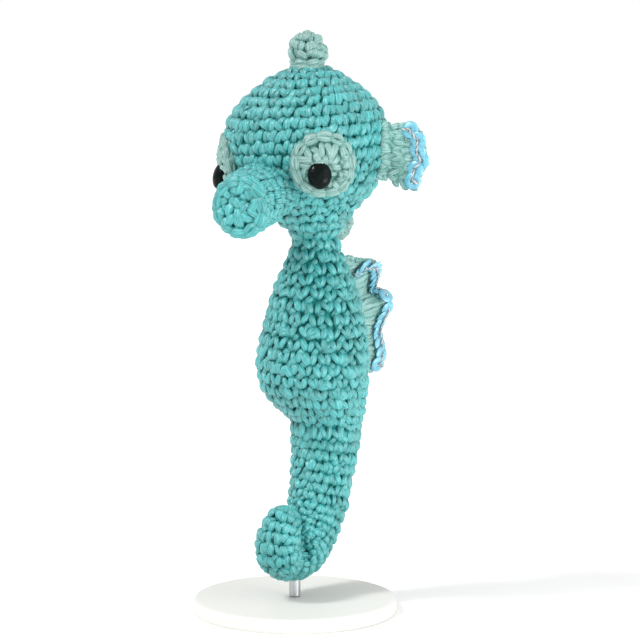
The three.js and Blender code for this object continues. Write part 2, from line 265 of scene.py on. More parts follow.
def walked_along(points):
    """How far along a line, or each of several lines, its points are."""
    steps = np.linalg.norm(np.diff(points, axis=-2), axis=-1)
    return np.concatenate([np.zeros_like(steps[..., :1]), np.cumsum(steps, -1)], -1)


def quads_of(grid):
    """The quads between the neighbours in a grid of vertex numbers."""
    quads = [grid[:-1, :-1], grid[1:, :-1], grid[1:, 1:], grid[:-1, 1:]]
    return np.stack(quads, -1).reshape(-1, 4)


def on_map(shares):
    """Shares of a surface, 0 to 1, as places on its OFBake map."""
    return BAKE_MARGIN + BAKE_SPAN * shares


# ---------- curves that match the CAD source ----------

def hermite(p, x1, x2, t1, t2):
    """The cubic from x1 to x2 with tangents t1 and t2, at the shares p of the way."""
    return (x1 + t1 * p + (-3 * x1 + 3 * x2 - 2 * t1 - t2) * p ** 2
            + (2 * x1 - 2 * x2 + t1 + t2) * p ** 3)


def through(points, places, centripetal):
    """A Catmull-Rom curve through points, at places counted in points."""
    points = np.asarray(points, float)
    ends = np.array([2 * points[0] - points[1], *points, 2 * points[-1] - points[-2]])
    first = np.clip(np.floor(places).astype(int), 0, len(points) - 2)
    p = (places - first)[:, None]
    x0, x1, x2, x3 = (ends[first + k] for k in range(4))
    if not centripetal:
        return hermite(p, x1, x2, (x2 - x0) / 2, (x3 - x1) / 2)
    d0, d1, d2 = (np.linalg.norm(b - a, axis=1, keepdims=True) ** 0.5
                  for a, b in ((x0, x1), (x1, x2), (x2, x3)))
    t1 = (x1 - x0) / d0 - (x2 - x0) / (d0 + d1) + (x2 - x1) / d1
    t2 = (x2 - x1) / d1 - (x3 - x1) / (d1 + d2) + (x3 - x2) / d2
    return hermite(p, x1, x2, t1 * d1, t2 * d1)


class Surface:
    """A surface of rings. m is the distance across the rings and angle goes round them. A subclass
    gives length and ring(m, angle), the points. outward turns its normals, and before is how far
    it goes on before its start."""
    outward = 1
    before = 0

    def radius_at(self, m):
        return np.interp(m, self.distance, self.radius)

    def stretch(self, m):
        """How much longer the outside of a bend is than the distance along the surface."""
        return np.ones_like(m)

    def at(self, m, angle, lift):
        """The points at m and angle, raised by lift along the outward normal, and the normals."""
        m, angle, lift = np.broadcast_arrays(m, angle, lift)
        step = 0.05
        m = np.clip(m, step - self.before, self.length - step)
        along = self.ring(m + step, angle) - self.ring(m - step, angle)
        around = self.ring(m, angle + 0.01) - self.ring(m, angle - 0.01)
        normals = unit(np.cross(along, around)) * self.outward
        return self.ring(m, angle) + normals * lift[..., None], normals


class RoundBody(Surface):
    """A body that is round in section about a bent middle line. Angle 0 is its front."""

    def __init__(self, entries, folds=()):
        self.folds = folds
        entries = np.asarray(entries, float)
        self.places = np.linspace(0, len(entries) - 1, LINE_SAMPLES)
        line = through(entries[:, [2, 0, 1]], self.places, True)
        self.turn = through(np.radians(entries[:, 3:]), self.places, False)[:, 0]
        self.radius, self.y, self.z = line.T
        self.distance = walked_along(line)
        self.length = self.distance[-1]
        travelled = np.hypot(np.gradient(self.y), np.gradient(self.z))
        self.bend = np.gradient(self.turn) / np.maximum(travelled, 1e-9)

    def distance_to(self, place):
        """The distance at a place counted in entries."""
        return np.interp(place, self.places, self.distance)

    def stretch(self, m):
        bend = np.abs(np.interp(m, self.distance, self.bend))
        return 1 + BEND_SHARE * np.minimum(bend * self.radius_at(m), 1)

    def ring(self, m, angle):
        radius, y, z, turn, bend = (np.interp(m, self.distance, table) for table in
                                    (self.radius, self.y, self.z, self.turn, self.bend))
        for place, from_front, depth, along, around in self.folds:
            off = (m - self.distance_to(place)) / along
            aside = (np.abs(np.arctan2(np.sin(angle), np.cos(angle))) - from_front) / around
            radius = radius - depth * np.exp(-off ** 2 - aside ** 2)
        across = np.cos(angle)
        most = FULLEST_BEND / np.maximum(np.abs(bend), 1e-9)
        side = across * np.where(across * bend > 0, np.minimum(radius, most), radius)
        points = [np.sin(angle) * radius, y - side * np.cos(turn), z + side * np.sin(turn)]
        return np.stack(points, -1) + TOY_PLACE


def rounded_edge(radius, height, edge):
    """A quarter turn of a profile, from its flat end at a height to its side at a radius."""
    return [(radius - edge + edge * math.sin(a), height - edge + edge * math.cos(a))
            for a in np.linspace(0, math.pi / 2, 9)]


class Turned(Surface):
    """A body turned about an axis: a profile of (distance from the axis, height along it)."""

    def __init__(self, profile, origin, axis, across):
        profile = np.asarray(profile, float)
        self.distance = walked_along(profile)
        self.length = self.distance[-1]
        self.radius, self.height = profile.T
        self.origin = origin
        self.axis = unit(axis)
        self.across = unit(across)
        self.third = np.cross(self.axis, self.across)

    def ring(self, m, angle):
        radius = self.radius_at(m)[..., None]
        height = np.interp(m, self.distance, self.height)[..., None]
        c, s = np.cos(angle)[..., None], np.sin(angle)[..., None]
        return self.origin + height * self.axis + radius * (c * self.across + s * self.third)


skull = RoundBody(SKULL)
spine = RoundBody(SPINE, TAIL_FOLDS)
whole = RoundBody(SKULL[:-1] + SPINE)  # for the stitches that run on past the neck


def skull_distance(angle, height):
    """The distance down the skull at which its surface is at a height, in the toy's own frame."""
    heights = skull.ring(skull.distance, np.full_like(skull.distance, angle))[:, 2] - TOY_PLACE[2]
    inside = slice(50, -50)  # leaves out the flat samples at the two ends
    return float(np.interp(-height, -heights[inside], skull.distance[inside]))


class FaceRound(Surface):
    """A round patch of the head's surface. m is the distance from its middle, and tilt the slope
    at which it stands off the head downwards."""

    def __init__(self, angle, height, radius, tilt):
        self.angle = angle
        self.centre = skull_distance(angle, height)
        self.length = radius
        self.tilt = tilt

    def radius_at(self, m):
        return m

    def ring(self, m, angle):
        down = self.centre + m * np.cos(angle)
        off = self.tilt * (down - self.centre)[..., None]
        aside = m * np.sin(angle) / skull.radius_at(down)
        return skull.ring(down, self.angle + aside) + off * heading(self.angle)


class FinSide(Surface):
    """One side of a fin. m is the distance out from the root, and angle the share of the way down
    its rim. side is 1 for the side with the sequins and -1 for the other."""
    before = 2

    def __init__(self, body, fin, side, mirrored=False):
        self.body, self.fin, self.mirrored = body, fin, mirrored
        self.outward = side if mirrored else -side
        self.length = fin["reach"]

    def ring(self, m, share):
        fin = self.fin
        m, share = np.broadcast_arrays(m, share)
        place = fin["start"] + (fin["end"] - fin["start"]) * share
        at = self.body.distance_to(place)
        radius, y, z = (np.interp(at, self.body.distance, table)
                        for table in (self.body.radius, self.body.y, self.body.z))
        out_x, out_y, _ = heading(fin["turn"])
        root = np.stack([out_x * radius, y + out_y * radius, z], -1)
        last = len(fin["rim"]) - 1
        rim = through(fin["rim"], np.ravel(share) * last, True).reshape(root.shape)
        points = root + (rim - root) * m[..., None] / self.length
        return points * (-1 if self.mirrored else 1, 1, 1) + TOY_PLACE


# ---------- strands into meshes ----------

class Strands:
    """Strands of plied yarn, gathered for one piece."""

    def __init__(self):
        self.added = []

    def add(self, points, normals, lifts, width, depth, roots):
        """points and normals are (strands, 5, 3), and lifts, their heights, (strands, 5). roots
        are the places of the strands on the piece's OFBake map."""
        sizes, roots = (np.broadcast_to(pair, (len(points), 2)) for pair in ((width, depth), roots))
        self.added.append((points, normals, lifts, sizes, roots))

    def build(self, name, material, plies=PLIES):
        """One mesh object of all the strands, each closed by a point at both ends."""
        points, normals, lifts, sizes, roots = map(np.concatenate, zip(*self.added))
        count, controls = points.shape[:2]
        spread = through(np.eye(controls), np.linspace(0, controls - 1, RINGS), False)
        centres, normals = (np.einsum("rc,kcx->krx", spread, table) for table in (points, normals))
        lifts = np.einsum("rc,kc->kr", spread, lifts)
        tangents = unit(np.gradient(centres, axis=1))
        sides = unit(np.cross(tangents, normals))
        normals = np.cross(sides, tangents)
        travelled = walked_along(centres)
        corners = 2 * plies
        angles = np.linspace(0, math.tau, corners, endpoint=False)
        groove = np.where(np.arange(corners) % 2, 1.0, GROOVE)
        start = rng.uniform(0, math.tau, (count, 1, 1))
        turned = angles + start + travelled[:, :, None] * TWIST
        swell = np.sin(np.pi * np.linspace(0, 1, RINGS)) ** 0.55
        taper = (STRAND_END + (1 - STRAND_END) * swell)[None, :, None]
        loose = np.clip(rng.normal(1, 0.11, (count, 1, 1)), 0.8, 1.3)
        width = sizes[:, 0, None, None] * taper * groove * loose
        depth = sizes[:, 1, None, None] * taper * groove * loose ** 0.3
        shell = (centres[:, :, None] + (np.cos(turned) * width)[..., None] * sides[:, :, None]
                 + (np.sin(turned) * depth)[..., None] * normals[:, :, None])
        tips = np.stack([centres[:, 0] - tangents[:, 0] * TIP,
                         centres[:, -1] + tangents[:, -1] * TIP], 1)
        vertices = np.concatenate([shell.reshape(count, -1, 3), tips], 1)
        per = vertices.shape[1]
        strand_uv = np.zeros((count, per, 2))
        strand_uv[:, :-2, 0] = np.repeat(np.arange(RINGS) / (RINGS - 1), corners)
        strand_uv[:, :-2, 1] = ((np.sin(turned) + 1) / 2).reshape(count, -1)
        strand_uv[:, -1, 0] = 1
        bake = roots[:, None] + strand_uv * BAKE_STRAND
        tint = np.repeat(rng.normal(0, 1, count), per)
        height = (lifts[:, :, None] + np.sin(turned) * depth).reshape(count, -1)
        height = np.concatenate([height, lifts[:, [0, -1]]], 1)
        along = np.concatenate([np.repeat(travelled, corners, 1), travelled[:, [0, -1]]], 1)
        around = np.concatenate([np.tile(np.arange(corners) / corners, (count, RINGS)),
                                 np.zeros((count, 2))], 1)
        lie = np.stack([along, around], -1)
        quads, caps = strand_faces(count, corners)
        return new_object(name, vertices.reshape(-1, 3), quads, caps, material, bake.reshape(-1, 2),
                          {"Tint": tint, "Height": height.ravel()}, lie.reshape(-1, 2))


def strand_faces(count, corners):
    """The quads round the strands and the triangles of their points, for count strands that have
    RINGS rings of corners each, then their first and last point."""
    ring, corner = np.meshgrid(np.arange(RINGS - 1), np.arange(corners), indexing="ij")
    here, there, after = ring * corners, (ring + 1) * corners, (corner + 1) % corners
    quads = np.stack([here + corner, here + after, there + after, there + corner], -1)
    around = np.arange(corners)
    beside = (around + 1) % corners
    last = (RINGS - 1) * corners
    point = np.full(corners, RINGS * corners)
    caps = np.concatenate([np.stack([point, beside, around], -1),
                           np.stack([point + 1, last + around, last + beside], -1)])
    offsets = (np.arange(count) * (RINGS * corners + 2))[:, None, None]
    return ((quads.reshape(1, -1, 4) + offsets).reshape(-1, 4)[:, ::-1],
            (caps[None] + offsets).reshape(-1, 3)[:, ::-1])


NO_TRIANGLES = np.zeros((0, 3), int)


def in_scene(name, data):
    """A new object of the data, in the scene."""
    made = bpy.data.objects.new(name, data)
    bpy.context.scene.collection.objects.link(made)
    return made


def new_object(name, vertices, quads, triangles, material, bake, floats=(), lie=None):
    """A smooth mesh object from arrays. bake is its OFBake map, floats its values by name, and lie
    how far along and round its strand each vertex of a strand lies."""
    mesh = bpy.data.meshes.new(name)
    loops = np.concatenate([np.ravel(quads), np.ravel(triangles)]).astype(np.int32)
    totals = np.concatenate([np.full(len(quads), 4), np.full(len(triangles), 3)])
    mesh.vertices.add(len(vertices))
    mesh.vertices.foreach_set("co", (vertices * MM).astype(np.float32).ravel())
    mesh.loops.add(len(loops))
    mesh.loops.foreach_set("vertex_index", loops)
    mesh.polygons.add(len(totals))
    starts = (np.cumsum(totals) - totals).astype(np.int32)
    mesh.polygons.foreach_set("loop_start", starts)
    mesh.polygons.foreach_set("use_smooth", np.ones(len(totals), bool))
    mesh.update(calc_edges=True)
    layer = mesh.uv_layers.new(name="OFBake")
    layer.data.foreach_set("uv", bake[loops].astype(np.float32).ravel())
    if lie is not None:
        lie = lie[loops]
        around = lie[:quads.size, 1].reshape(-1, 4)  # a view: quads over the seam go on past 1
        around += (around < 0.4) & (around.max(1, keepdims=True) > 0.6)
        mesh.uv_layers.new(name="Lie").data.foreach_set("uv", lie.astype(np.float32).ravel())
    for key, values in dict(floats).items():
        attribute = mesh.attributes.new(key, "FLOAT", "POINT")
        attribute.data.foreach_set("value", np.asarray(values, np.float32))
    mesh.materials.append(material)
    return in_scene(name, mesh)


# ---------- rounds of stitches ----------

def rounds(surface, start, end, gauge, fewest=6, slant=0.3, tilt=0.0):
    """The stitches of a spiral from start to end, two distances along a surface, as rows of (m,
    angle, row height, stitch angle), whose signs give the way that the work grows. slant is the
    share of a stitch by which each round starts further on, and tilt the slope of the rounds."""
    width, height = gauge
    track = np.linspace(start, end, 400)
    worked = np.cumsum(surface.stretch(track))
    worked = (worked - worked[0]) * abs(end - start) / len(track)
    rows = round(worked[-1] / height)
    edges = np.interp(np.linspace(0, worked[-1], rows + 1), worked, track)
    right = -math.copysign(1, end - start)
    cells = []
    shift = 0.0
    for row in range(rows):
        radius = float(surface.radius_at((edges[row] + edges[row + 1]) / 2))
        count = max(fewest, round(math.tau * radius / width))
        step = math.tau / count
        shift += slant * step
        for share in np.arange(count) / count:
            angle = SEAM + right * (shift - math.tau * share)
            foot = np.interp(max(row - 0.5 + share, 0), range(rows + 1), edges)
            top = np.interp(rows if row == rows - 1 else row + 0.5 + share, range(rows + 1), edges)
            leaning = tilt * radius * math.sin(angle - HEAD_TILT_AT)
            cells.append((foot - leaning, angle, top - foot, right * step))
    return np.array(cells)


def lay(strands, surface, cells, stitch, out=0.0, wander=1.0, thick=1.0, dive=1.0):
    """Lays a stitch on each cell of a surface. wander is how uneven the stitches are, and dive the
    share of its depth that a strand's ends go down to, less than 1 where the fabric is thin."""
    m0, angle0, rise, step = (cells[:, k, None] for k in range(4))
    count = len(cells)
    shake = rng.normal(0, wander, (count, 1, 3)) * STITCH_SHAKE
    roots = np.stack([cells[:, 1] / math.tau % 1, cells[:, 0] / surface.length], -1)
    roots = on_map(np.clip(roots, 0, 1))
    for k, (path, width, depth) in enumerate(stitch):
        own = rng.normal(0, wander, (count, 1, 3)) * STRAND_SHAKE
        x, y, z = (np.array(path)[None] + shake + own).transpose(2, 0, 1)
        lean = rng.normal(0, STRAND_LEAN * wander, (count, 1))
        x, y = x + lean * (y - y[:, 2:3]), y - lean * (x - x[:, 2:3])
        lift = np.where(z < 0, z * dive, z) + out - YARN_RADIUS
        points, normals = surface.at(m0 + y * rise, angle0 + x * step, lift)
        strands.add(points, normals, lift - out, width * thick, depth * thick,
                    roots + k * BAKE_STRAND * 1.2)


def chain_ring(strands, surface, inner, outer, count, out=0.0, thick=1.1):
    """A round of chain stitches lying flat along a rim: two long legs each, between two distances
    along the surface, that meet at one end."""
    path, width, depth = CHAIN_LEG
    x, y, z = np.transpose(path)
    step = math.tau / count
    middle, half = (inner + outer) / 2, (outer - inner) / 2
    angles = np.arange(count)[:, None] * step
    for side in (-1, 1):
        shake = rng.normal(0, 1, (count, 5)) * 0.1
        lift = z + out - YARN_RADIUS + shake
        m = middle + y * half * side + shake * 1.5
        points, normals = surface.at(m, angles + x * step, lift)
        roots = np.stack([angles[:, 0] / math.tau, np.full(count, 0.9 + 0.02 * side)], -1)
        strands.add(points, normals, lift - out, width * thick, depth * thick, on_map(roots))


def core(name, surface, start, end, sunk, material, sides=48, rows=None):
    """A closed smooth body, sunk under a surface from start to end, with rows of quads along it:
    one for each 2 mm where their number isn't given."""
    rows = rows or max(6, round(abs(end - start) / 2))
    ms = np.linspace(start, end, rows + 1)
    angles = np.linspace(0, math.tau, sides, endpoint=False)
    grid = surface.at(ms[:, None], angles[None, :], -sunk)[0]
    ends = grid[[0, -1]].mean(1)
    vertices = np.concatenate([grid.reshape(-1, 3), ends])
    numbers = np.arange((rows + 1) * sides).reshape(-1, sides)
    quads = quads_of(np.pad(numbers, ((0, 0), (0, 1)), "wrap"))
    around = np.arange(sides)
    beside = (around + 1) % sides
    last = rows * sides
    middle = np.full(sides, len(vertices) - 2)
    top = np.stack([middle, around, beside], -1)
    bottom = np.stack([middle + 1, last + beside, last + around], -1)
    bake = np.zeros((len(vertices), 2))
    bake[:-2, 0] = np.tile(around / sides, rows + 1)
    bake[:-2, 1] = np.repeat(np.arange(rows + 1) / rows, sides)
    bake[-2:] = (0.5, 0), (0.5, 1)
    return new_object(name, vertices, quads, np.concatenate([top, bottom]), material, on_map(bake))


# ---------- materials ----------

def srgb(red, green, blue):
    """A linear colour from an sRGB one given in 0 to 255."""
    shares = (c / 255 for c in (red, green, blue))
    return [c / 12.92 if c <= 0.04045 else ((c + 0.055) / 1.055) ** 2.4 for c in shares] + [1]


class Finish:
    """A material with its shader, whose sockets take the constants, and ways to add nodes."""

    def __init__(self, name, **sockets):
        self.material = bpy.data.materials.new(name)
        self.material.use_nodes = True
        self.tree = self.material.node_tree
        self.shader = self.tree.nodes["Principled BSDF"]
        for socket, value in sockets.items():
            self.shader.inputs[socket.replace("_", " ")].default_value = value

    def node(self, kind, settings=(), **inputs):
        made = self.tree.nodes.new("ShaderNode" + kind)
        for key, value in dict(settings).items():
            setattr(made, key, value)
        for key, value in inputs.items():
            self.feed(made.inputs[key.replace("_", " ")], value)
        return made

    def feed(self, socket, value):
        """Links an output to a socket, or sets the socket to a constant."""
        if isinstance(value, bpy.types.NodeSocket):
            self.tree.links.new(value, socket)
        else:
            socket.default_value = value

    def place(self):
        return self.node("TexCoord").outputs["Object"]

    def lie(self):
        return self.node("UVMap", {"uv_map": "Lie"}).outputs["UV"]

    def value_of(self, attribute):
        return self.node("Attribute", {"attribute_name": attribute}).outputs["Fac"]

    def maths(self, operation, *values):
        made = self.node("Math", {"operation": operation})
        for socket, value in zip(made.inputs, values):
            self.feed(socket, value)
        return made.outputs[0]

    def mix(self, factor, a, b):
        made = self.node("Mix", {"data_type": "RGBA"})
        for key, value in (("Factor", factor), ("A", a), ("B", b)):
            sockets = [s for s in made.inputs if s.name == key and s.enabled]
            self.feed(sockets[0], value)
        return [s for s in made.outputs if s.enabled][0]

    def noise(self, vector, scale, detail, roughness=0.5):
        return self.node("TexNoise", Vector=vector, Scale=scale, Detail=detail,
                         Roughness=roughness).outputs["Fac"]

    def ramp(self, value, low, high, to_low=0.0, to_high=1.0):
        """A smooth step from to_low to to_high, as value goes from low to high."""
        made = self.node("MapRange", {"interpolation_type": "SMOOTHSTEP"})
        for key, number in (("Value", value), ("From Min", low), ("From Max", high),
                            ("To Min", to_low), ("To Max", to_high)):
            self.feed(made.inputs[key], number)
        return made.outputs["Result"]

    def surface(self, colour, height, strength, distance):
        """Links the colour and a bump of the height, and gives the finished material."""
        self.feed(self.shader.inputs["Base Color"], colour)
        bump = self.node("Bump", Strength=strength, Distance=distance, Height=height)
        self.feed(self.shader.inputs["Normal"], bump.outputs[0])
        return self.material


def cotton(name, painted_shade, body, top, painted_glint, furrow):
    """Plied cotton: colours for the depths, the body and the high sides of the stitches, that paint
    shade into the depths and a highlight onto the high sides, and a colour for painted highlights
    on loose fibres. furrow is how much darker it is between the plies, a painted shade."""
    finish = Finish(name, Roughness=0.4, Specular_IOR_Level=1.0, Sheen_Weight=0.2,
                    Sheen_Roughness=0.4)
    height = finish.value_of("Height")
    around = finish.node("SeparateXYZ", Vector=finish.lie()).outputs[1]
    stretched = finish.node("Mapping", Vector=finish.lie(), Scale=(0.8, 22, 1)).outputs[0]
    fibres = finish.noise(stretched, 1.0, 3.0, 0.6)
    patches = finish.noise(finish.place(), 90.0, 2.0)
    wobble = finish.maths("MULTIPLY_ADD", fibres, 1.6, -0.8 - math.pi / 2)
    plies = finish.maths("SINE", finish.maths("MULTIPLY_ADD", around, math.tau * PLIES, wobble))
    # Painted shade and highlight: darker where a strand's surface lies low among the others,
    # lighter on its high sides.
    colour = finish.mix(finish.ramp(height, -2.6, -0.9), srgb(*painted_shade), srgb(*body))
    colour = finish.mix(finish.ramp(height, -0.8, 0.5), colour, srgb(*top))
    shade = finish.maths("MULTIPLY_ADD", finish.value_of("Tint"), 0.05, 1.0)
    # Painted shade: darker by furrow in the grooves between the plies.
    shade = finish.maths("ADD", shade, finish.ramp(plies, -1.0, 0.6, furrow, 0.08))
    shade = finish.maths("ADD", shade, finish.ramp(patches, 0.3, 0.7, -0.06, 0.06))
    yarn = finish.node("VectorMath", {"operation": "SCALE"}, Vector=colour, Scale=shade)
    # Painted highlight: whitish specks where loose fibres would catch the light.
    light = finish.mix(finish.ramp(fibres, 0.5, 0.8, 0.0, 0.16), yarn.outputs[0], srgb(*painted_glint))
    relief = finish.maths("MULTIPLY_ADD", plies, 0.35, fibres)
    return finish.surface(light, relief, 0.9, 0.00022)


def inner(name, colour, shaded=0.5):
    """The backs of stitches that show between the stitches, darkened in places by painted shade
    down to shaded times their colour.
    """
    finish = Finish(name, Roughness=0.95, Specular_IOR_Level=0.1)
    tangle_and_shade = finish.node("TexVoronoi", Vector=finish.place(), Scale=700.0).outputs["Distance"]
    darker = [c * shaded for c in srgb(*colour)[:3]] + [1]
    return finish.surface(finish.mix(tangle_and_shade, darker, srgb(*colour)), tangle_and_shade, 0.8, 0.0004)


def moulded(name, dark, light, grain, rough, **sockets):
    """A smooth material whose colour and roughness drift a little over it. grain is the scale of
    the drift, and rough the least and the most roughness."""
    finish = Finish(name, **sockets)
    drift = finish.noise(finish.place(), grain, 4.0, 0.6)
    finish.feed(finish.shader.inputs["Roughness"], finish.ramp(drift, 0.3, 0.7, *rough))
    colour = finish.mix(finish.ramp(drift, 0.3, 0.7), srgb(*dark), srgb(*light))
    return finish.surface(colour, drift, 0.25, 0.00005)


def drawn_steel(name):
    """Steel with fine lines along Z."""
    finish = Finish(name, Metallic=1.0, Specular_IOR_Level=0.5)
    lines = finish.node("Mapping", Vector=finish.place(), Scale=(4000, 4000, 60)).outputs[0]
    drawn = finish.noise(lines, 1.0, 2.0)
    finish.feed(finish.shader.inputs["Base Color"],
                finish.mix(drawn, srgb(168, 170, 172), srgb(214, 216, 218)))
    finish.feed(finish.shader.inputs["Roughness"], finish.ramp(drawn, 0.3, 0.7, 0.24, 0.42))
    return finish.material


def spun(name, dark, light):
    """Two-ply sewing thread, with painted shade where its two plies meet."""
    finish = Finish(name, Roughness=0.6, Specular_IOR_Level=0.4)
    along, around = finish.node("SeparateXYZ", Vector=finish.lie()).outputs[:2]
    turn = finish.maths("MULTIPLY_ADD", around, 4 * math.pi, finish.maths("MULTIPLY", along, 3.0))
    plies = finish.maths("SINE", turn)
    colour = finish.mix(finish.ramp(plies, -1.0, 0.4), srgb(*dark), srgb(*light))
    return finish.surface(colour, plies, 0.8, 0.0001)


TEAL = cotton("teal_cotton", (8, 112, 108), (14, 136, 135), (55, 163, 164), (182, 233, 232), -0.18)
TEAL_INNER = inner("teal_inside", (34, 150, 145), 0.75)
MINT = cotton("mint_cotton", (68, 140, 129), (95, 148, 140), (122, 165, 159), (188, 208, 204),
              -0.18)
MINT_INNER = inner("mint_inside", (80, 142, 131))
# Painted light: the fins' mint yarn and its inside, the same yarn as the nubs and patches, made
# lighter.
PAINTED_LIT_MINT = cotton("mint_cotton_painted_lit", (84, 160, 151), (116, 172, 165), (137, 182, 177),
                   (200, 222, 217), -0.2)
PAINTED_LIT_MINT_INNER = inner("mint_inside_painted_lit", (124, 180, 172), 0.8)
BLACK = moulded("black_plastic", (5, 13, 12), (9, 19, 18), 400, (0.06, 0.14),
                Specular_IOR_Level=0.09)
SEQUIN = moulded("sequin_film", (92, 166, 190), (120, 186, 205), 900, (0.22, 0.38), Metallic=0.15,
                 Coat_Weight=0.6, Coat_Roughness=0.12)
THREAD = spun("grey_thread", (108, 116, 118), (180, 187, 188))
BOARD = moulded("painted_board", (208, 207, 203), (214, 213, 209), 900, (0.42, 0.6),
                Specular_IOR_Level=0.4)
STEEL = drawn_steel("drawn_steel")


# ---------- pieces ----------

def place_piece(piece, replaced=()):
    """Attaches a piece to the root and hides the CAD nodes that it stands for."""
    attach(piece, "root")
    if replaced:
        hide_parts(*replaced)
    return piece


def lay_bands(name, surface, *bands, dive=1.0):
    """A body's stitches in teal, with a piece for each band of (cells, stitch, other stitch, share
    of the other, thickness of the yarn). dive is as in lay."""
    for k, (cells, stitch, other, share, thick) in enumerate(bands):
        chosen = rng.random(len(cells)) < share
        strands = Strands()
        lay(strands, surface, cells[~chosen], stitch, thick=thick, dive=dive)
        lay(strands, surface, cells[chosen], other, thick=thick, dive=dive)
        place_piece(strands.build(f"{name}_{k + 1}", TEAL))


# ---------- the body and the tail ----------

body_core = core("body_core", spine, 0.0, spine.length - 0.6, CORE_DEPTH, TEAL_INNER, rows=90)
place_piece(body_core, SPINE_LENGTHS)

waist = spine.distance_to(SPINE_LENGTHS["tail_root"][0])
tail = rounds(spine, spine.length, waist, TAIL_GAUGE)
bands = [(half, TIGHT_CROCHET, LOOSE_CROCHET, 0.35, 0.96) for half in np.array_split(tail, 2)]
lay_bands("tail_stitches", spine, *bands, dive=0.8)

neck_entry = len(SKULL) - 1
waist = whole.distance_to(neck_entry + SPINE_LENGTHS["tail_root"][0])
trunk = rounds(whole, waist, whole.distance_to(neck_entry) - 0.8, TRUNK_GAUGE)
lower, upper = np.array_split(trunk, 2)
lay_bands("trunk_stitches", whole, (lower, LOOSE_CROCHET, OPEN_FAN, 0.14, 1.08),
          (upper, LOOSE_CROCHET, OPEN_FAN, 0.14, 1.0))

# ---------- the head ----------

head_core = core("head_core", skull, 0.0, skull.length, CORE_DEPTH, TEAL_INNER, rows=60)
place_piece(head_core, ["head"])
cells = rounds(skull, 0, skull.length - 0.3, HEAD_GAUGE, slant=0.15, tilt=HEAD_TILT)
above = cells[:, 0] < skull.distance_to(WIDEST)
lay_bands("head_stitches", skull, (cells[above], TIGHT_CROCHET, LOOSE_CROCHET, 0.08, 1.0),
          (cells[~above], LOOSE_CROCHET, TIGHT_CROCHET, 0.2, 1.12))

# ---------- the snout ----------

profile = [(NEAR_AXIS, 0.0), ((SNOUT_RADIUS - SNOUT_EDGE) / 2, -0.2),
           *rounded_edge(SNOUT_RADIUS, -0.6, SNOUT_EDGE), (SNOUT_RADIUS, -SNOUT_LENGTH)]
snout = Turned(profile, SNOUT_END + TOY_PLACE, heading(SNOUT_TURN, -SNOUT_DROOP), (0, 0, 1))
snout_core = core("snout_core", snout, 0, snout.length, SNOUT_CORE_DEPTH, TEAL_INNER)
place_piece(snout_core, ["snout"])
strands = Strands()
face = rounds(snout, 0.4, 8.6, SNOUT_FACE_GAUGE, fewest=4, slant=0.15)
lay(strands, snout, face, LOOSE_CROCHET, out=0.2, wander=1.9, thick=1.26)
chain_ring(strands, snout, 7.9, 9.9, count=11, out=0.5)
tube = rounds(snout, 10.4, snout.length - 4, SNOUT_GAUGE, slant=0.15)
lay(strands, snout, tube, TIGHT_CROCHET)
place_piece(strands.build("snout_stitches", TEAL))

# ---------- the nubs ----------

def nub(name, at, tilt):
    """A little stuffed ball on a foot, worked from its top down."""
    profile = [(NUB_RADIUS * math.cos(a) + 0.001, NUB_HEIGHT - NUB_RADIUS * (1 - math.sin(a)))
               for a in np.linspace(math.pi / 2, NUB_FOOT, 24)]
    profile.append((profile[-1][0], 2.0))
    axis = (0, -math.sin(tilt), math.cos(tilt))
    ball = Turned(profile, at + TOY_PLACE, axis, (1, 0, 0))
    inside = core(f"{name}_core", ball, 0, ball.length, CORE_DEPTH, MINT_INNER, sides=32)
    place_piece(inside, [name])
    strands = Strands()
    foot = ball.length - 3.4
    cells = rounds(ball, 0, foot, NUB_GAUGE, fewest=5, slant=0.15)
    lay(strands, ball, cells, TIGHT_CROCHET, wander=1.8, thick=0.98)
    chain_ring(strands, ball, foot - 0.2, foot + 1.8, count=7, out=0.1)
    chain_ring(strands, ball, foot + 1.6, ball.length, count=8, out=0.1)
    place_piece(strands.build(f"{name}_stitches", MINT))


nub("crown_nub", CROWN_NUB_AT, 0.0)
nub("nape_nub", NAPE_NUB_AT, NAPE_NUB_TILT)

# ---------- eyes on their patches ----------

def eye_patch(side, angle, height):
    """A round patch on the head, worked from its middle out."""
    patch = FaceRound(angle, height, PATCH_RADIUS + 0.6, PATCH_TILT)
    base = core(f"eye_patch_{side}_base", patch, 0, PATCH_RADIUS - 1.2, -1.6, MINT_INNER, rows=8)
    place_piece(base, [f"eye_patch_{side}"])
    strands = Strands()
    cells = rounds(patch, 0.8, 8.8, PATCH_GAUGE, fewest=5, slant=0.2)
    lay(strands, patch, cells, LOOSE_CROCHET, out=PATCH_SEAT - 0.15, wander=1.9, thick=1.08)
    chain_ring(strands, patch, 8.5, 10.1, count=13, out=PATCH_SEAT - 0.3, thick=1.0)
    chain_ring(strands, patch, 8.9, 10.3, count=11, out=PATCH_SEAT - 1.5, thick=1.05)
    stitches = place_piece(strands.build(f"eye_patch_{side}_stitches", MINT))


def eye(side, angle, height):
    """A domed plastic eye, seated on its patch."""
    place, out = skull.at(skull_distance(angle, height), angle, 0.0)
    seat = PATCH_SEAT + 0.2 + PATCH_TILT * (PATCH_HEIGHT - EYE_HEIGHT)
    profile = [(EYE_RADIUS * math.sin(a), EYE_DOME * math.cos(a))
               for a in np.linspace(0.002, EYE_WRAP, 30)]
    dome = Turned(profile, place + seat * heading(angle), out, (0, 0, 1))
    piece = core(f"eye_{side}_dome", dome, 0, dome.length, 0, BLACK, sides=64, rows=24)
    place_piece(piece, [f"eye_{side}"])


for side, sign, drop in (("left", 1, 0), ("right", -1, FACE_SLANT)):
    eye_patch(side, FACE_TURN + sign * PATCH_TURN, PATCH_HEIGHT - drop)
    eye(side, FACE_TURN + sign * EYE_TURN, EYE_HEIGHT - drop)

# ---------- fins ----------

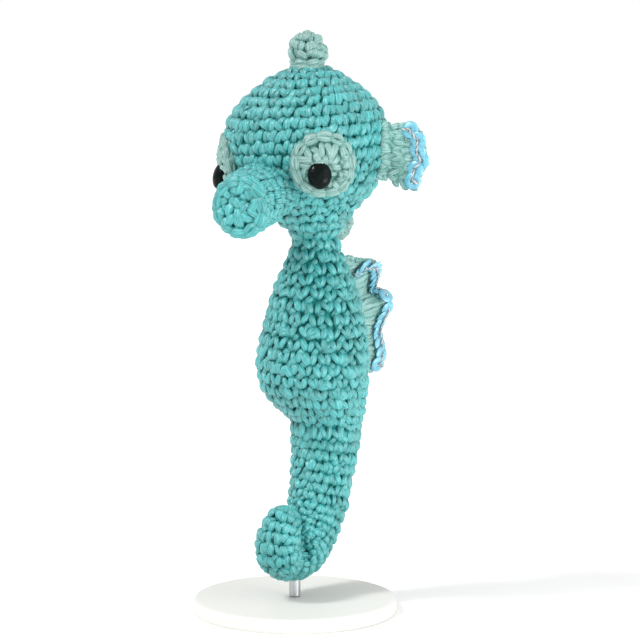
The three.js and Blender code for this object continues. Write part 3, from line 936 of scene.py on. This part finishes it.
def sheet_of(name, surface, columns, material):
    """A thin closed sheet in the middle of a fin."""
    reaches = np.linspace(-SHEET_SUNK, surface.length - SHEET_SHORT, SHEET_ROWS + 1)
    shares = np.linspace(0.01, 0.99, columns + 1)
    m, share = np.meshgrid(reaches, shares, indexing="ij")
    faces = [surface.at(m, share, lift)[0] for lift in (SHEET_HALF, -SHEET_HALF)]
    grid = np.arange(m.size).reshape(m.shape)
    quads = quads_of(grid)
    edge = np.concatenate([grid[0, :-1], grid[:-1, -1], grid[-1, :0:-1], grid[:0:-1, 0]])
    after = np.roll(edge, -1)
    wall = np.stack([edge, after, after + m.size, edge + m.size], -1)
    if surface.outward < 0:
        quads, wall = quads[:, ::-1], wall[:, ::-1]
    quads = np.concatenate([quads, quads[:, ::-1] + m.size, wall])
    bake = np.stack([share, (m - reaches[0]) / (reaches[-1] - reaches[0])], -1).reshape(-1, 2)
    bake = on_map(np.concatenate([bake, bake + (1.05, 0)]) / 2.05)  # the two faces side by side
    return new_object(name, np.concatenate(faces).reshape(-1, 3), quads, NO_TRIANGLES, material,
                      bake)


def sequins_on(name, surface, pitch, zigzag, line):
    """A row of cup sequins with holes, along a line of (share of the rim, share of the reach).
    Gives the piece, and for each hole its place, normal and way in to the root."""
    line = through(line, np.linspace(0, len(line) - 1, 400), True)
    shares, reaches = line.T
    track = surface.ring(reaches * surface.length, shares)
    walked = walked_along(track)
    count = round(walked[-1] / pitch)
    stops = (np.arange(count) + 0.5) / count * walked[-1]
    shares, reaches = (np.interp(stops, walked, table) for table in (shares, reaches))
    centres, normals = surface.at(reaches * surface.length, shares, FIN_HALF + SEQUIN_LIFT)
    down = unit(np.gradient(centres, axis=0))
    swerve = np.where(np.arange(count) % 2, zigzag, -zigzag)[:, None]
    inwards = unit(surface.ring(0.0, shares) - centres)
    centres = centres + swerve * unit(np.cross(normals, down))
    normals = unit(normals + 0.14 * down + rng.normal(0, 0.05, normals.shape))
    across = unit(np.cross(down, normals))
    down = np.cross(normals, across)
    radius, height = np.array(SEQUIN_CUP).T
    turn = np.linspace(0, math.tau, SEQUIN_SIDES, endpoint=False)
    circle = np.stack([np.cos(turn), np.sin(turn)], -1)
    flat = radius[:, None, None] * circle
    points = (centres[:, None, None] + flat @ np.stack([across, down], 1)[:, None]
              + height[:, None, None] * normals[:, None, None])
    grid = np.arange(flat[..., 0].size).reshape(flat.shape[:2])
    quads = quads_of(np.pad(grid, (0, 1), "wrap")) + (np.arange(count) * grid.size)[:, None, None]
    middles = np.stack([shares * 0.9 + 0.05, np.full(count, 0.5)], -1)
    bake = middles[:, None] + flat.reshape(1, -1, 2) * 0.01
    tint = np.repeat(rng.normal(0, 1, count), grid.size)
    made = new_object(name, points.reshape(-1, 3), quads.reshape(-1, 4), NO_TRIANGLES, SEQUIN,
                      bake.reshape(-1, 2), {"Tint": tint})
    return made, centres, normals, inwards


def thread_through(name, holes, normals, inwards):
    """Grey thread that goes from hole to hole over the sequins, with a short end at each side."""
    strands = Strands()
    first, last = THREAD_ENDS
    holes = np.concatenate([holes[:1] + first * inwards[0], holes, holes[-1:] - last * inwards[-1]])
    normals = np.concatenate([normals[:1], normals, normals[-1:]])
    start, end = holes[:-1, None], holes[1:, None]
    shares, lifts = np.array(THREAD_ARCH).T[..., None]
    normals = np.repeat(unit(normals[:-1] + normals[1:])[:, None], len(THREAD_ARCH), 1)
    points = start * (1 - shares) + end * shares + normals * lifts
    strands.add(points, normals, np.zeros(points.shape[:2]), 0.5, 0.38, 0.5)
    return strands.build(name, THREAD, plies=4)


def fin(name, strip, body, shape, rows, sequins, cut, hangs_from, yarn, inside, mirrored=False):
    """A ruffled fin of two layers of stitches over a thin sheet, with its sequins and thread. rows
    are (stitches, height, stitch), from the root out, and cut, its flat size in mm, is not used."""
    sides = [FinSide(body, shape, side, mirrored) for side in (1, -1)]
    base = sheet_of(f"{name}_base", sides[0], SHEET_COLUMNS * len(rows), inside)
    place_piece(base, [name])
    strands = Strands()
    for surface, sign in zip(sides, (1, -1)):
        at = 0.0
        for count, height, stitch in rows:
            step = 1.0 / count
            cells = np.array([(at, (k + 0.5) * step, height, sign * step) for k in range(count)])
            lay(strands, surface, cells, stitch, FIN_HALF, wander=1.3, thick=0.94, dive=FIN_DIVE)
            at += height
    stitches = place_piece(strands.build(f"{name}_stitches", yarn))
    film, holes, normals, inwards = sequins_on(f"{name}_sequin_row", sides[0], **sequins)
    place_piece(film, [strip])
    thread = place_piece(thread_through(f"{name}_thread", holes, normals, inwards))


head_sequins = dict(pitch=3.6, zigzag=0.5, line=[
    (0.03, 0.86), (0.2, 0.89), (0.4, 0.9), (0.6, 0.9), (0.8, 0.88), (0.97, 0.86)])
for side, mirrored in (("left", False), ("right", True)):
    fin(f"head_fin_{side}", f"head_fin_sequins_{side}", skull, HEAD_FIN,
        [(5, 3.8, TIGHT_CROCHET), (5, 5.0, LOOSE_CROCHET), (6, 4.6, LOOSE_CROCHET),
         (7, 3.0, FAN_POST)],
        head_sequins, (22, 16), ["head_core"], PAINTED_LIT_MINT, PAINTED_LIT_MINT_INNER, mirrored)
dorsal_sequins = dict(pitch=3.2, zigzag=0.1, line=[
    (0.21, 0.48), (0.13, 0.68), (0.14, 0.88), (0.22, 0.93), (0.35, 0.93), (0.5, 0.93),
    (0.65, 0.93), (0.8, 0.93), (0.97, 0.9)])
fin("dorsal_fin", "dorsal_fin_sequins", spine, DORSAL_FIN,
    [(9, 4.5, LOOSE_CROCHET), (8, 13.0, SHELL), (22, 3.2, FAN_POST)], dorsal_sequins, (55, 21),
    ["body_core"], PAINTED_LIT_MINT, PAINTED_LIT_MINT_INNER)

# ---------- the stand ----------

base_profile = [(NEAR_AXIS, BASE_THICKNESS), (BASE_RADIUS / 2, BASE_THICKNESS),
                *rounded_edge(BASE_RADIUS, BASE_THICKNESS, BASE_BEVEL), (BASE_RADIUS, SMALL_EDGE),
                (BASE_RADIUS - SMALL_EDGE, 0.0), (BASE_RADIUS / 2, 0.0), (NEAR_AXIS, 0.0)]
base_disc = Turned(base_profile, (0, 0, 0), (0, 0, 1), (1, 0, 0))
disc = core("stand_base_disc", base_disc, 0, base_disc.length, 0, BOARD, sides=144, rows=90)
place_piece(disc, ["stand_base"])
rod_length = CLEARANCE + ROD_DEPTH - GAP
rod_profile = [(NEAR_AXIS, rod_length), (ROD_RADIUS - ROD_EDGE, rod_length),
               (ROD_RADIUS, rod_length - ROD_EDGE), (ROD_RADIUS, 0.0), (NEAR_AXIS, 0.0)]
rod = Turned(rod_profile, (0, 0, BASE_THICKNESS + GAP), (0, 0, 1), (1, 0, 0))
pin = core("stand_rod_pin", rod, 0, rod.length, 0, STEEL, sides=48, rows=60)
place_piece(pin, ["stand_rod"])

# ---------- camera, light and floor ----------

VIEW_TURN = math.radians(38)
VIEW_RISE = math.radians(6.9)
VIEW_DISTANCE = 900
VIEW_CENTRE = np.array([0, 14.5, 102.5])
LENS = 142.6
ROOM_LIGHT = 0.8
FLOOR_SIZE = 6  # m

camera_data = bpy.data.cameras.new("camera")
camera_data.lens = LENS
camera_data.sensor_width = 36
camera = in_scene("camera", camera_data)
camera.location = (VIEW_CENTRE + VIEW_DISTANCE * heading(VIEW_TURN, VIEW_RISE)) * MM
camera.rotation_euler = (math.pi / 2 - VIEW_RISE, 0, VIEW_TURN)
bpy.context.scene.camera = camera
bpy.context.scene.view_settings.view_transform = "Standard"

floor_mesh = bpy.data.meshes.new("floor")
far = FLOOR_SIZE / 2
corners = [(-far, -far, 0), (far, -far, 0), (far, far, 0), (-far, far, 0)]
floor_mesh.from_pydata(corners, [], [(0, 1, 2, 3)])
floor = in_scene("floor", floor_mesh)
floor_mesh.materials.append(moulded("pale_floor", (249, 249, 248), (251, 251, 250), 3,
                                    (0.85, 0.95), Specular_IOR_Level=0.1))

world = bpy.data.worlds.new("studio")
world.use_nodes = True
nodes, links = world.node_tree.nodes, world.node_tree.links
seen = nodes.new("ShaderNodeLightPath").outputs["Is Camera Ray"]
strength = nodes.new("ShaderNodeMapRange")
strength.inputs["To Min"].default_value = ROOM_LIGHT
strength.inputs["To Max"].default_value = 1.0
links.new(seen, strength.inputs["Value"])
links.new(strength.outputs["Result"], nodes["Background"].inputs["Strength"])
nodes["Background"].inputs["Color"].default_value = (1, 1, 1, 1)
bpy.context.scene.world = world


SUNS = [  # soft suns: turn, rise and width in degrees, and strength
    ("left_light", -24, 44, 32, 0.6),
    ("right_light", 104, 20, 50, 0.8),
    ("low_light", 64, 1, 60, 0.5),
    ("glint", -32, 52, 12, 1.7),
]
for name, turn, rise, width, power in SUNS:
    data = bpy.data.lights.new(name, "SUN")
    data.angle = math.radians(width)
    data.energy = power
    light = in_scene(name, data)
    light.rotation_euler = (math.radians(90 - rise), 0, math.radians(turn))

# A square soft panel near the floor looks up at the toy. The camera doesn't see it.
PANEL_TURN = math.radians(88)
PANEL_AWAY = 420
PANEL_HEIGHT = 15
PANEL_AIM = 120  # height that it faces on the Z axis
PANEL_SIZE = 260
PANEL_POWER = 1.35  # W
data = bpy.data.lights.new("underlight", "AREA")
data.size = PANEL_SIZE * MM
data.energy = PANEL_POWER
light = in_scene("underlight", data)
light.location = (PANEL_AWAY * heading(PANEL_TURN) + (0, 0, PANEL_HEIGHT)) * MM
upwards = math.atan2(PANEL_AIM - PANEL_HEIGHT, PANEL_AWAY)
light.rotation_euler = (math.pi / 2 + upwards, 0, PANEL_TURN)
light.visible_camera = False
